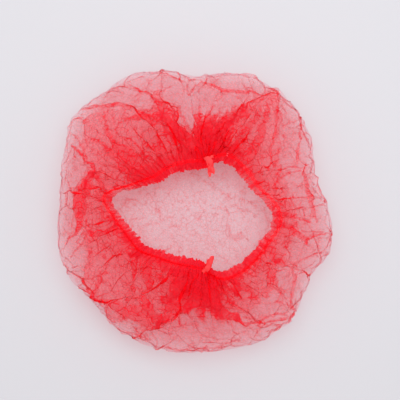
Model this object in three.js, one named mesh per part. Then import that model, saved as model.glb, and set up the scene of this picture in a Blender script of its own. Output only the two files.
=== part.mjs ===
// A disposable pleated hair cover cap in thin non-woven fabric, lying crown down with its mouth up.
// Millimetres, +Z up. The crown's underside lies on the plane Z = 0, and +Y points to the back weld.
// Pieces: the fabric sheet, an elastic on each side of the mouth, and the two welded ends of the pleats.
import * as THREE from "three";

// Overall sizes
const CAP_DIAMETER = 302; // mean width of the puffed cap
const CAP_HEIGHT = 62; // floor to the crest of the puffed fabric
const SHEET_WALL = 1;
const MOUTH_LENGTH = 170; // relaxed mouth, left tip to right tip

// Mouth edge
const RUFFLE_WIDTH = 9; // free frill between the mouth's edge and the elastic
const RUFFLE_HEIGHT = 47; // the frill's height above the floor
const GATHER_COUNT = 40; // gathers round the mouth
const GATHER_RISE = 2.6; // half the height of a gather at the frill
const GATHER_UNEVENNESS = 0.3; // how much the gathers differ in height

// Elastic bands
const ELASTIC_WIDTH = 3;
const ELASTIC_THICKNESS = 1.2;
const ELASTIC_GAP = 0.3; // clearance between the elastic and the fabric
const ELASTIC_TRACK = 7; // width of the pinched strip of fabric that the elastic lies on
const ELASTIC_STEPS = 64;
const ELASTIC_END_GAP = 1.4; // from a weld's side to the middle of the elastic's end

// Welded pleat ends
const WELD_PULL = 0.65; // how strongly the pleats converge on a weld
const WELD_SPREAD = 32; // degrees of the cap's rim that the pleats of one weld gather
const WELD_WIDTH = 4.4; // across the weld where it crosses the frill
const WELD_TIP_WIDTH = 6.5;
const WELD_TIP_LENGTH = 8; // how far the free end stands into the mouth
const WELD_THICKNESS = 2.2;
const WELD_NOTCH = 3; // depth of the cut in the weld's free end

// Outline of the puffed cap seen from above. Reach is a share of half the diameter.
const OUTLINE = [
  { azimuth: 0, reach: 0.95 },
  { azimuth: 18, reach: 0.905 },
  { azimuth: 36, reach: 1.0 },
  { azimuth: 55, reach: 1.065 },
  { azimuth: 75, reach: 1.025 },
  { azimuth: 90, reach: 0.965 },
  { azimuth: 104, reach: 1.04 },
  { azimuth: 125, reach: 1.07 },
  { azimuth: 142, reach: 1.08 },
  { azimuth: 158, reach: 0.99 },
  { azimuth: 172, reach: 0.955 },
  { azimuth: 192, reach: 0.975 },
  { azimuth: 208, reach: 0.98 },
  { azimuth: 221, reach: 0.96 },
  { azimuth: 238, reach: 1.0 },
  { azimuth: 255, reach: 1.015 },
  { azimuth: 272, reach: 1.0 },
  { azimuth: 300, reach: 1.05 },
  { azimuth: 316, reach: 1.02 },
  { azimuth: 331, reach: 0.945 },
  { azimuth: 347, reach: 0.985 },
];

// The mouth seen from above, lemon shaped with a nick at each weld. Reach is a share of half its length.
const MOUTH = [
  { azimuth: 2, reach: 0.975 },
  { azimuth: 20, reach: 0.81 },
  { azimuth: 40, reach: 0.76 },
  { azimuth: 58, reach: 0.765 },
  { azimuth: 68, reach: 0.68 },
  { azimuth: 76, reach: 0.575 },
  { azimuth: 94, reach: 0.535 },
  { azimuth: 122, reach: 0.55 },
  { azimuth: 140, reach: 0.58 },
  { azimuth: 157, reach: 0.77 },
  { azimuth: 170, reach: 1.05 },
  { azimuth: 183, reach: 0.94 },
  { azimuth: 198, reach: 0.82 },
  { azimuth: 214, reach: 0.76 },
  { azimuth: 230, reach: 0.66 },
  { azimuth: 250, reach: 0.585 },
  { azimuth: 268, reach: 0.59 },
  { azimuth: 281, reach: 0.64 },
  { azimuth: 292, reach: 0.8 },
  { azimuth: 307, reach: 0.865 },
  { azimuth: 322, reach: 0.885 },
  { azimuth: 338, reach: 0.915 },
  { azimuth: 352, reach: 1.0 },
];

// Sections of the sheet from the mouth's edge to the crown. On the frill and the elastic's track a ring lies
// off the mouth's edge by a share of the frill and a share of the track. Further out it lies at a share of the
// way from there to the outline, and on the crown at a share of the outline's own reach.
// Height is a share of the cap's height, gather a share of GATHER_RISE and fold a share of each fold's rise.
const SECTIONS = [
  { name: "frill edge", frill: 0, track: 0, gather: 1, fold: 0, columns: 160 },
  { name: "frill", frill: 0.3, track: 0, gather: 0.75, fold: 0, columns: 160 },
  { name: "track inside", frill: 1, track: -0.5, gather: 0.15, fold: 0, columns: 160 },
  { name: "track outside", frill: 1, track: 0.5, gather: 0.15, fold: 0, columns: 160 },
  { name: "gathers", out: 0.14, height: 0.83, gather: 0.9, fold: 0.35, columns: 160 },
  { name: "slope", out: 0.34, height: 0.92, gather: 0.8, fold: 0.8, columns: 160 },
  { name: "crest", out: 0.56, height: 0.96, gather: 0.55, fold: 1, columns: 160 },
  { name: "shoulder", out: 0.78, height: 0.88, gather: 0.35, fold: 1, columns: 160 },
  { name: "upper side", out: 0.94, height: 0.7, gather: 0.3, fold: 0.8, columns: 160 },
  { name: "bulge", crown: 1, height: 0.46, gather: 0.3, fold: 0.6, columns: 160 },
  { name: "lower side", crown: 0.975, height: 0.22, gather: 0.35, fold: 0.3, columns: 160 },
  { name: "heel", crown: 0.92, height: 0.06, gather: 0.12, fold: 0, columns: 80 },
  { name: "crown rim", crown: 0.85, height: 0, gather: 0, fold: 0, columns: 80 },
  { name: "crown", crown: 0.58, height: 0, gather: 0, fold: 0, columns: 40 },
  { name: "crown middle", crown: 0.28, height: 0, gather: 0, fold: 0, columns: 20 },
];

// The two welds, where the pleats and both elastics end. Lean is the angle of the free end, in degrees.
const WELDS = [
  { name: "weld_back", azimuth: 75, lean: 28 },
  { name: "weld_front", azimuth: 281, lean: -18 },
];

// Large folds, each a ridge from the mouth to the outline. Width is in degrees and rise is a share of the height.
const FOLDS = [
  { name: "back right arm", mouth: 66, outline: 56, width: 7, rise: 0.1 },
  { name: "back left arm", mouth: 92, outline: 118, width: 7, rise: 0.09 },
  { name: "far left arm", mouth: 116, outline: 140, width: 7, rise: 0.07 },
  { name: "left tuck", mouth: 168, outline: 170, width: 9, rise: 0.06 },
  { name: "front left arm", mouth: 262, outline: 246, width: 7, rise: 0.1 },
  { name: "front far left arm", mouth: 236, outline: 219, width: 8, rise: 0.08 },
  { name: "front right arm", mouth: 296, outline: 314, width: 8, rise: 0.1 },
  { name: "right arm", mouth: 336, outline: 334, width: 6, rise: 0.07 },
  { name: "right tuck", mouth: 24, outline: 22, width: 7, rise: 0.07 },
];

const FULL_TURN = 360;
const radians = THREE.MathUtils.degToRad;

/** The signed angle from one azimuth to another, in degrees within half a turn. */
function turnBetween(from, to) {
  return THREE.MathUtils.euclideanModulo(to - from + FULL_TURN / 2, FULL_TURN) - FULL_TURN / 2;
}

/** A smooth closed curve through a table's reach, read at an azimuth. */
function reachAt(table, azimuth) {
  const angle = THREE.MathUtils.euclideanModulo(azimuth - table[0].azimuth, FULL_TURN);
  const start = table.findLastIndex((row) => row.azimuth - table[0].azimuth <= angle);
  const row = (step) => table[THREE.MathUtils.euclideanModulo(start + step, table.length)];
  const span = turnBetween(row(0).azimuth, row(1).azimuth);
  const share = turnBetween(row(0).azimuth, azimuth) / span;
  const slope = (step) =>
    ((row(step + 1).reach - row(step - 1).reach) * span) /
    (turnBetween(row(step - 1).azimuth, row(step).azimuth) + turnBetween(row(step).azimuth, row(step + 1).azimuth));
  const square = share * share;
  const cube = square * share;
  return (
    (2 * cube - 3 * square + 1) * row(0).reach +
    (cube - 2 * square + share) * slope(0) +
    (3 * square - 2 * cube) * row(1).reach +
    (cube - square) * slope(1)
  );
}

/** The azimuth at the mouth of the pleat that meets the outline at this azimuth. */
function pleatAzimuth(azimuth) {
  return WELDS.reduce((moved, weld) => {
    const away = turnBetween(weld.azimuth, azimuth);
    return moved - WELD_PULL * away * Math.exp(-((away / WELD_SPREAD) ** 2));
  }, azimuth);
}

/** How far apart the pleats run at the mouth, as a share of their spacing at the outline. */
function pleatSpacing(azimuth) {
  return Math.min(1, pleatAzimuth(azimuth + 0.5) - pleatAzimuth(azimuth - 0.5));
}

/** A point at a distance from the cap's middle, as seen from above. */
function pointAt(azimuth, distance, height) {
  const angle = radians(azimuth);
  return new THREE.Vector3(Math.cos(angle) * distance, Math.sin(angle) * distance, height);
}

/** A point of the sheet's smooth middle surface, before gathers and folds. */
function smoothPoint(section, azimuth) {
  const pleat = pleatAzimuth(azimuth);
  const mouth = (MOUTH_LENGTH / 2) * reachAt(MOUTH, pleat);
  if (section.frill !== undefined) {
    return pointAt(pleat, mouth + section.frill * RUFFLE_WIDTH + section.track * ELASTIC_TRACK, RUFFLE_HEIGHT);
  }
  const height = SHEET_WALL / 2 + section.height * (CAP_HEIGHT - SHEET_WALL);
  const outline = (CAP_DIAMETER / 2) * reachAt(OUTLINE, azimuth);
  if (section.crown !== undefined) return pointAt(azimuth, outline * section.crown, height);
  const trackEdge = pointAt(pleat, mouth + RUFFLE_WIDTH + ELASTIC_TRACK / 2, height);
  return trackEdge.lerp(pointAt(azimuth, outline, height), section.out);
}

/** How far gathers and folds lift the sheet at a section. */
function lift(section, azimuth) {
  const share = section.crown === undefined ? (section.out ?? 0) : 1;
  const crowding = THREE.MathUtils.lerp(pleatSpacing(azimuth) ** 2, 1, share);
  const uneven = 1 + GATHER_UNEVENNESS * Math.sin(radians(azimuth) * 7) * Math.cos(radians(azimuth) * 3);
  const gather = GATHER_RISE * section.gather * crowding * uneven * Math.sin(radians(azimuth) * GATHER_COUNT);
  const folds = FOLDS.reduce((sum, fold) => {
    const middle = fold.mouth + turnBetween(fold.mouth, fold.outline) * share;
    const away = turnBetween(middle, azimuth) / fold.width;
    return sum + fold.rise * CAP_HEIGHT * Math.exp(-away * away);
  }, 0);
  return gather + folds * section.fold;
}

/** The rings of the sheet's middle surface and of the normals there, all facing out of the cap. */
function sheetRings() {
  const azimuths = (columns) => Array.from({ length: columns }, (_, i) => (i * FULL_TURN) / columns);
  const step = 0.5;
  const normalOf = (point, section, i, azimuth, at) => {
    const along = at(section, i, azimuth + step).sub(at(section, i, azimuth - step));
    const inward = SECTIONS[Math.max(i - 1, 0)];
    const outward = SECTIONS[Math.min(i + 1, SECTIONS.length - 1)];
    const across = at(outward, i + 1, azimuth).sub(at(inward, i - 1, azimuth));
    return across.cross(along).normalize();
  };
  const smoothAt = (section, i, azimuth) => smoothPoint(section, azimuth);
  const liftedAt = (section, i, azimuth) => {
    const point = smoothPoint(section, azimuth);
    if (section.gather + section.fold === 0) return point;
    const index = SECTIONS.indexOf(section);
    return point.addScaledVector(normalOf(point, section, index, azimuth, smoothAt), lift(section, azimuth));
  };
  return SECTIONS.map((section, i) =>
    azimuths(section.columns).map((azimuth) => {
      const point = liftedAt(section, i, azimuth);
      return { azimuth, point, normal: normalOf(point, section, i, azimuth, liftedAt) };
    }),
  );
}

/** Joins two closed rings of vertex numbers with triangles. The second ring may have half as many. */
function joinRings(faces, ring, next) {
  const ratio = ring.length / next.length;
  for (let i = 0; i < ring.length; i++) {
    const here = next[Math.floor(i / ratio)];
    const there = next[Math.floor((i + 1) / ratio) % next.length];
    const after = ring[(i + 1) % ring.length];
    faces.push([ring[i], after, here]);
    if (here !== there) faces.push([after, there, here]);
  }
}

/** A solid from rings of points, for a wall between two skins that share the mouth's edge. */
function sheetGeometry(rings) {
  const positions = [];
  const add = (point) => positions.push(...point.toArray()) / 3 - 1;
  const skin = (side) =>
    rings.map((ring) => ring.map(({ point, normal }) => add(point.clone().addScaledVector(normal, (side * SHEET_WALL) / 2))));
  const outer = skin(1);
  const inner = skin(-1);
  const outerFaces = [];
  const innerFaces = [];
  for (let i = 0; i + 1 < rings.length; i++) {
    joinRings(outerFaces, outer[i], outer[i + 1]);
    joinRings(innerFaces, inner[i], inner[i + 1]);
  }
  const closeCrown = (faces, ring, height) => {
    const middle = add(new THREE.Vector3(0, 0, height));
    ring.forEach((vertex, i) => faces.push([vertex, ring[(i + 1) % ring.length], middle]));
  };
  closeCrown(outerFaces, outer.at(-1), 0);
  closeCrown(innerFaces, inner.at(-1), SHEET_WALL);
  const rimFaces = [];
  joinRings(rimFaces, inner[0], outer[0]);
  const turned = (faces) => faces.map(([a, b, c]) => [a, c, b]);
  const faces = [...turned(outerFaces), ...innerFaces, ...turned(rimFaces)];
  const geometry = new THREE.BufferGeometry();
  geometry.setAttribute("position", new THREE.Float32BufferAttribute(positions, 3));
  geometry.setIndex(faces.flat());
  return geometry;
}

/** A bar of rectangular section swept through frames of a middle point, a normal and a sideways direction. */
function barGeometry(frames, width, thickness) {
  const positions = [];
  const corners = [
    [-0.5, -0.5],
    [0.5, -0.5],
    [0.5, 0.5],
    [-0.5, 0.5],
  ];
  for (const { middle, normal, side } of frames) {
    for (const [across, up] of corners) {
      const corner = middle.clone().addScaledVector(side, across * width).addScaledVector(normal, up * thickness);
      positions.push(...corner.toArray());
    }
  }
  const faces = [[0, 2, 1], [0, 3, 2]];
  for (let i = 0; i + 1 < frames.length; i++) {
    for (let k = 0; k < corners.length; k++) {
      const a = i * corners.length + k;
      const b = i * corners.length + ((k + 1) % corners.length);
      faces.push([a, b, b + corners.length], [a, b + corners.length, a + corners.length]);
    }
  }
  const last = (frames.length - 1) * corners.length;
  faces.push([last, last + 1, last + 2], [last, last + 2, last + 3]);
  const geometry = new THREE.BufferGeometry();
  geometry.setAttribute("position", new THREE.Float32BufferAttribute(positions, 3));
  geometry.setIndex(faces.flat());
  return geometry;
}

/** The height of the underside of what lies on the elastic's track. */
function trackTop() {
  const track = SECTIONS.find(({ name }) => name === "track inside");
  const pinch = GATHER_RISE * track.gather * (1 + GATHER_UNEVENNESS);
  return RUFFLE_HEIGHT + SHEET_WALL / 2 + pinch + ELASTIC_GAP;
}

/** The distance from the cap's middle to the elastic at an azimuth. */
function elasticReach(azimuth) {
  return (MOUTH_LENGTH / 2) * reachAt(MOUTH, azimuth) + RUFFLE_WIDTH;
}

/** One elastic, laid on its track anticlockwise from one weld to the other. */
function elasticGeometry(fromWeld, toWeld) {
  const at = (azimuth) => pointAt(azimuth, elasticReach(azimuth), trackTop() + ELASTIC_THICKNESS / 2);
  const clear = (azimuth) =>
    THREE.MathUtils.radToDeg(Math.atan((WELD_WIDTH / 2 + ELASTIC_END_GAP) / elasticReach(azimuth)));
  const start = fromWeld.azimuth + clear(fromWeld.azimuth);
  const turn = THREE.MathUtils.euclideanModulo(toWeld.azimuth - clear(toWeld.azimuth) - start, FULL_TURN);
  const up = new THREE.Vector3(0, 0, 1);
  const frames = Array.from({ length: ELASTIC_STEPS + 1 }, (_, i) => {
    const azimuth = start + (turn * i) / ELASTIC_STEPS;
    const along = at(azimuth + 0.5).sub(at(azimuth - 0.5)).normalize();
    return { middle: at(azimuth), normal: up, side: up.clone().cross(along).normalize() };
  });
  return barGeometry(frames, ELASTIC_WIDTH, ELASTIC_THICKNESS);
}

/** A weld's flat tab, its root at the origin, its length along +X and its free end leaning and notched. */
function weldGeometry(lean) {
  const root = ELASTIC_WIDTH / 2 + RUFFLE_WIDTH;
  const end = root + WELD_TIP_LENGTH;
  const shift = WELD_TIP_LENGTH * Math.tan(radians(lean));
  const tab = new THREE.Shape();
  tab.moveTo(0, -WELD_WIDTH / 2);
  tab.lineTo(root, -WELD_WIDTH / 2);
  tab.lineTo(end, shift - WELD_TIP_WIDTH / 2);
  tab.lineTo(end - WELD_NOTCH, shift);
  tab.lineTo(end - WELD_NOTCH / 3, shift + WELD_TIP_WIDTH / 2);
  tab.lineTo(root, WELD_WIDTH / 2);
  tab.lineTo(0, WELD_WIDTH / 2);
  tab.closePath();
  return new THREE.ExtrudeGeometry(tab, { depth: WELD_THICKNESS, bevelEnabled: false });
}

const fabric = new THREE.MeshStandardMaterial({ color: 0xe8404c, roughness: 0.9, metalness: 0, side: THREE.DoubleSide });
const elastic = new THREE.MeshStandardMaterial({ color: 0xf4a8ae, roughness: 0.7, metalness: 0 });
const weld = new THREE.MeshStandardMaterial({ color: 0xd8161f, roughness: 0.6, metalness: 0 });

const rings = sheetRings();
const sheet = new THREE.Mesh(sheetGeometry(rings), fabric);
sheet.name = "cap_sheet";

const [back, front] = WELDS;
const leftElastic = new THREE.Mesh(elasticGeometry(back, front), elastic);
leftElastic.name = "elastic_left";
const rightElastic = new THREE.Mesh(elasticGeometry(front, back), elastic);
rightElastic.name = "elastic_right";

const cap = new THREE.Group();
cap.add(sheet, leftElastic, rightElastic);

for (const { name, azimuth, lean } of WELDS) {
  const tab = new THREE.Mesh(weldGeometry(lean), weld);
  tab.name = name;
  tab.position.copy(pointAt(azimuth, elasticReach(azimuth) + ELASTIC_WIDTH / 2, trackTop()));
  tab.rotation.z = radians(azimuth + FULL_TURN / 2);
  cap.add(tab);
}

// The origin is the middle of the cap's underside.
sheet.geometry.computeBoundingBox();
const middle = sheet.geometry.boundingBox.getCenter(new THREE.Vector3());
cap.position.set(-middle.x, -middle.y, -sheet.geometry.boundingBox.min.z);

export default cap;
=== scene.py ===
"""Dresses a disposable pleated hair cover cap of thin red non-woven fabric.

The cap lies crown down with its mouth up. Sizes are in metres, +Z is up and +Y points to the back weld.
"""

import logging
import math
import sys
from dataclasses import dataclass
from enum import Enum
from typing import NamedTuple

import bpy
import numpy as np
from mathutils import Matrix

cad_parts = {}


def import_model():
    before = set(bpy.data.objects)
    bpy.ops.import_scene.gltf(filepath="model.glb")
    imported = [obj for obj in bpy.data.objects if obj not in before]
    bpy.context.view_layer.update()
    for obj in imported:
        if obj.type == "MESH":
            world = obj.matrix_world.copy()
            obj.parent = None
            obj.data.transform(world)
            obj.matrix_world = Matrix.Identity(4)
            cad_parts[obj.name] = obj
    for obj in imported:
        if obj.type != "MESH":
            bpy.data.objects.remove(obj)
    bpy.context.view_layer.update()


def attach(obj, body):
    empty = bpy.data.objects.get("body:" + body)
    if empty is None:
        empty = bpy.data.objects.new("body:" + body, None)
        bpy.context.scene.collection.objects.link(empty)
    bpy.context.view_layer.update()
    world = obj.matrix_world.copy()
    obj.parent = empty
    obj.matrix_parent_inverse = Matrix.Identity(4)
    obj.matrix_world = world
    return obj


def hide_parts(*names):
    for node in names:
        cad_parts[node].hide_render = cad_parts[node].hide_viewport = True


LOG = logging.getLogger("hair_cover_cap")
BODY = "root"
FULL_TURN = 2 * math.pi


class Slot(Enum):
    """Names for the fabric, elastic and weld material slots; nothing in this script uses them."""

    FABRIC = "fabric"
    ELASTIC = "elastic"
    WELD = "weld"


class Bend(NamedTuple):
    """A point of a closed outline: its azimuth in degrees and its reach as a share of the radius."""

    azimuth: float
    reach: float


class Section(NamedTuple):
    """A section of the sheet's profile, from the mouth's edge to the middle of the crown.

    offset is the distance off the mouth's edge in metres, out the share of the way on to the outline,
    crown the share of the outline's own reach, height in metres, columns the points round the ring and
    rows the rings from here to the next section.
    """

    name: str
    offset: float
    out: float
    crown: float
    height: float
    columns: int
    rows: int


class Weld(NamedTuple):
    """A fused pleat end: the node it stands for, its azimuth and its free end's lean, in degrees."""

    node: str
    azimuth: float
    lean: float


class Fold(NamedTuple):
    """A large fold laid over from the mouth to the outline.

    mouth and outline are its azimuths there in degrees, width is half the doubled strip in degrees,
    lap how far the cloth doubles back as a share of that width, rise the height of its loft in metres,
    start and end the shares of the way out between which it is full.
    """

    mouth: float
    outline: float
    width: float
    lap: float
    rise: float
    start: float
    end: float


class Wave(NamedTuple):
    """A family of folds that the elastic draws up, running out from the mouth.

    count is how many lie round the cap, start, peak and end the shares of the way out where they set in,
    are fullest and have died away, rise how high they stand and lap how far their sides draw together in
    metres, pinch how narrow their crests are and wander how unevenly they lie.
    """

    count: int
    start: float
    peak: float
    end: float
    rise: float
    lap: float
    pinch: float
    wander: float


class Crease(NamedTuple):
    """A network of creases in the cloth: its mesh, line width and height in metres.

    kept is the share of its lines that show, and cover how many more layers' worth of fibre a line has.
    """

    mesh: float
    width: float
    height: float
    kept: float
    cover: float


class Grain(NamedTuple):
    """A layer of smooth noise: its bumps' size in metres, its seed and its strength."""

    size: float
    seed: int
    strength: float


class Crinkle(NamedTuple):
    """A layer of fine crinkle lines: its cells to the metre, its line width and its strength in layers."""

    scale: float
    width: float
    strength: float


class Strand(NamedTuple):
    """A band of folded-over cloth on the gathered top.

    cover is how many more layers' worth of fibre it shows, or fewer where the folds part. course holds its
    points from the mouth outwards, seen from above: x, y and half the band's width, in millimetres.
    """

    cover: float
    course: tuple[tuple[float, float, float], ...]


OUTLINE = (
    Bend(0, 0.95), Bend(18, 0.905), Bend(36, 1.0), Bend(55, 1.065), Bend(75, 1.025), Bend(90, 0.965),
    Bend(104, 1.04), Bend(125, 1.07), Bend(142, 1.08), Bend(158, 0.99), Bend(172, 0.955), Bend(192, 0.975),
    Bend(208, 0.98), Bend(221, 0.96), Bend(238, 1.0), Bend(255, 1.015), Bend(272, 1.0), Bend(300, 1.05),
    Bend(316, 1.02), Bend(331, 0.945), Bend(347, 0.985),
)

MOUTH = (
    Bend(2, 0.955), Bend(20, 0.775), Bend(40, 0.74), Bend(58, 0.73), Bend(68, 0.65), Bend(76, 0.56),
    Bend(94, 0.53), Bend(122, 0.54), Bend(140, 0.57), Bend(157, 0.755), Bend(170, 1.02), Bend(183, 0.895),
    Bend(198, 0.78), Bend(214, 0.725), Bend(230, 0.62), Bend(250, 0.575), Bend(268, 0.575), Bend(281, 0.63),
    Bend(292, 0.79), Bend(307, 0.85), Bend(322, 0.87), Bend(338, 0.905), Bend(352, 0.985),
)

SECTIONS = (
    Section("frill edge", 0, 0, 1, 0.0475, 768, 5),
    Section("frill", 0.005, 0, 1, 0.0475, 768, 4),
    Section("elastic", 0.009, 0, 1, 0.0465, 768, 4),
    Section("gathers", 0.0125, 0.1, 1, 0.0505, 768, 11),
    Section("slope", 0.0125, 0.34, 1, 0.0565, 768, 14),
    Section("crest", 0.0125, 0.56, 1, 0.059, 768, 15),
    Section("shoulder", 0.0125, 0.79, 1, 0.0545, 768, 14),
    Section("upper side", 0.0125, 0.95, 1, 0.0425, 768, 12),
    Section("bulge", 0.0125, 1, 1, 0.0285, 768, 9),
    Section("lower side", 0.0125, 1, 0.975, 0.014, 768, 7),
    Section("heel", 0.0125, 1, 0.92, 0.004, 384, 6),
    Section("crown rim", 0.0125, 1, 0.85, 0.0006, 384, 24),
    Section("crown", 0.0125, 1, 0.56, 0.0006, 192, 20),
    Section("crown middle", 0.0125, 1, 0.28, 0.0006, 96, 10),
    Section("crown heart", 0.0125, 1, 0.12, 0.0006, 48, 5),
    Section("crown tip", 0.0125, 1, 0.03, 0.0006, 16, 0),
)

# How the mouth's edge, the large folds, the doubled cloth, the fans, the bands and the puffs vary.
JAGS = (Grain(0.035, 9, 1.0), Grain(0.012, 10, 0.7))
FRAYS = (Grain(0.011, 33, 1.0), Grain(0.006, 34, 0.6))
HEMS = (Grain(0.013, 35, 1.0), Grain(0.005, 37, 0.7))
FANS = (Grain(0.014, 38, 0.35), Grain(0.006, 41, 0.3))
BAND_EDGES = (Grain(0.006, 95, 1.0), Grain(0.003, 96, 1.0))
DENTS = (Grain(0.045, 11, 1.0), Grain(0.02, 12, 0.5))

# Heights between which the cloth leaves the table, in metres.
LIFT_OFF = (0.001, 0.01)

WELDS = (Weld("weld_back", 75, 28), Weld("weld_front", 281, -30))

# How far out the cloth that the elastic draws in lies doubled: an azimuth and a share of the way out.
DOUBLED = (
    Bend(0, 0.28), Bend(20, 0.38), Bend(38, 0.56), Bend(52, 0.9), Bend(62, 0.72), Bend(70, 0.5),
    Bend(80, 0.3),
    Bend(90, 0.25), Bend(100, 0.38), Bend(107, 0.74), Bend(116, 0.64), Bend(126, 0.72), Bend(134, 0.88),
    Bend(142, 0.84), Bend(151, 0.74), Bend(159, 0.58), Bend(175, 0.6), Bend(188, 0.5), Bend(203, 0.66),
    Bend(217, 0.93), Bend(226, 0.88), Bend(233, 0.98), Bend(239, 0.72), Bend(250, 0.52), Bend(270, 0.48),
    Bend(288, 0.44), Bend(300, 0.5), Bend(312, 0.48), Bend(321, 0.42), Bend(333, 0.34), Bend(346, 0.28),
)

FOLDS = (
    Fold(66, 55, 6, 0.5, 0.0025, 0.02, 0.9),
    Fold(90, 110, 6, 0.5, 0.0025, 0.02, 0.7),
    Fold(100, 137, 5, 0.5, 0.0025, 0.05, 0.9),
    Fold(167, 170, 4, 0.8, 0.002, 0.25, 0.8),
    Fold(265, 244, 6, 0.6, 0.0025, 0.02, 0.9),
    Fold(250, 219, 5, 0.6, 0.0025, 0.1, 0.93),
    Fold(292, 314, 5, 0.5, 0.0025, 0.02, 0.9),
    Fold(325, 334, 4, 0.9, 0.0025, 0.1, 0.95),
    Fold(28, 22, 4, 0.8, 0.0025, 0.1, 0.9),
)

BACK_LEFT_STRANDS = (
    Strand(4.4, ((-18, 84, 8), (-28, 97, 7), (-37, 110, 4), (-44, 121, 1.8), (-52, 126, 1.2),
                (-61, 131, 0.7))),
    Strand(5.8, ((-20, 80, 10), (-35, 94, 8), (-48, 99, 5), (-62, 98, 2.5), (-75, 94, 1))),
    Strand(3.7, ((-46, 101, 3), (-60, 104, 3), (-70, 110, 3), (-80, 115, 3), (-92, 112, 3),
                (-105, 112, 2.5), (-120, 109, 1))),
    Strand(4.4, ((-52, 36, 12), (-66, 54, 9), (-79, 68, 4.5), (-90, 85, 2), (-96, 103, 0.8))),
    Strand(3.7, ((-82, 75, 1.4), (-80, 90, 1.2), (-75, 100, 0.7))),
    Strand(3.7, ((-66, 40, 8), (-84, 61, 4), (-98, 70, 1.8), (-110, 78, 0.8))),
    Strand(3.7, ((-42, 53, 1), (-60, 70, 1), (-76, 81, 0.7))),
    Strand(3.1, ((-27, 55, 7), (-38, 66, 4), (-52, 72, 1.2), (-54, 85, 0.7))),
    Strand(3.1, ((-45, 106, 1), (-37, 109, 1.4), (-30, 112, 0.8))),
    Strand(2.7, ((-38, 121, 0.7), (-30, 125, 0.8), (-22, 132, 0.8))),
    Strand(3.1, ((-28, 147, 0.9), (-20, 141, 1), (-10, 136, 0.7))),
    Strand(3.4, ((-8, 113, 0.7), (-3, 122, 0.8), (3, 133, 0.8), (8, 139, 0.9))),
    Strand(3.1, ((-7, 132, 0.7), (-5, 122, 1.2), (-1, 118, 0.7))),
    Strand(-7.0, ((2, 112, 13), (-3, 95, 8), (-1, 80, 3))),
)

BACK_RIGHT_STRANDS = (
    Strand(5.4, ((8, 76, 9), (22, 86, 8), (36, 97, 7.5), (52, 105, 6.5))),
    Strand(1.7, ((46, 102, 8), (60, 111, 9), (74, 121, 8), (90, 133, 3))),
    Strand(3.6, ((11, 84, 5), (15, 94, 2.5), (17, 104, 1.2), (22, 113, 0.8))),
    Strand(4.1, ((8, 137, 0.9), (21, 134, 1.6), (31, 129, 1.6), (45, 127, 1.2), (60, 126, 1),
                (72, 123, 0.7))),
    Strand(2.7, ((31, 130, 0.9), (28, 122, 0.8), (22, 118, 0.6))),
    Strand(3.4, ((58, 56, 5), (68, 72, 4), (76, 90, 3.2), (82, 104, 2), (80, 111, 0.8))),
    Strand(3.4, ((79, 46, 1.6), (82, 68, 1.8), (88, 88, 1.4), (90, 108, 0.9))),
    Strand(1.4, ((82, 105, 1), (88, 118, 0.9), (92, 130, 1.6))),
    Strand(3.0, ((44, 62, 6), (56, 82, 5), (68, 94, 3), (76, 104, 1))),
    Strand(2.6, ((119, 97, 0.8), (114, 87, 0.9), (111, 75, 1.4), (110, 60, 2), (109, 55, 0.8))),
    Strand(2.7, ((97, 92, 1), (106, 96, 1.4), (114, 99, 0.7))),
    Strand(3.4, ((84, 29, 0.8), (100, 37, 0.8), (112, 40, 0.6))),
    Strand(3.4, ((85, 33, 0.8), (97, 43, 0.7))),
)

LEFT_STRANDS = (
    Strand(5.8, ((-100, 36, 3), (-107, 50, 2.6), (-117, 60, 1.8), (-128, 71, 0.7))),
    Strand(3.4, ((-110, 58, 0.8), (-115, 68, 0.8), (-126, 81, 0.6))),
    Strand(6.2, ((-106, 40, 3), (-113, 27, 6), (-119, 12, 7), (-119, 0, 5), (-119, -12, 3),
                (-123, -25, 1.8), (-131, -29, 0.8))),
    Strand(4.1, ((-88, 21, 2), (-98, 33, 1.4), (-110, 40, 1.4))),
    Strand(4.1, ((-86, 14, 3), (-96, 26, 2), (-108, 31, 1.2))),
    Strand(3.7, ((-90, 8, 2), (-100, 13, 1.2), (-112, 18, 1))),
    Strand(4.1, ((-84, -8, 4), (-97, -10, 2), (-110, -14, 1))),
    Strand(4.4, ((-78, -18, 5), (-92, -21, 3), (-106, -23, 3), (-117, -25, 1))),
    Strand(3.1, ((-112, -27, 0.8), (-119, -36, 0.8), (-128, -47, 0.7))),
    Strand(2.7, ((-106, -62, 0.6), (-113, -70, 0.8), (-121, -79, 0.8))),
    Strand(3.4, ((-88, -63, 0.8), (-97, -67, 1.4), (-101, -75, 2.4), (-108, -85, 1.6))),
    Strand(3.1, ((-88, -100, 1), (-98, -92, 1), (-112, -81, 1.2), (-124, -81, 1))),
)

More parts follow.
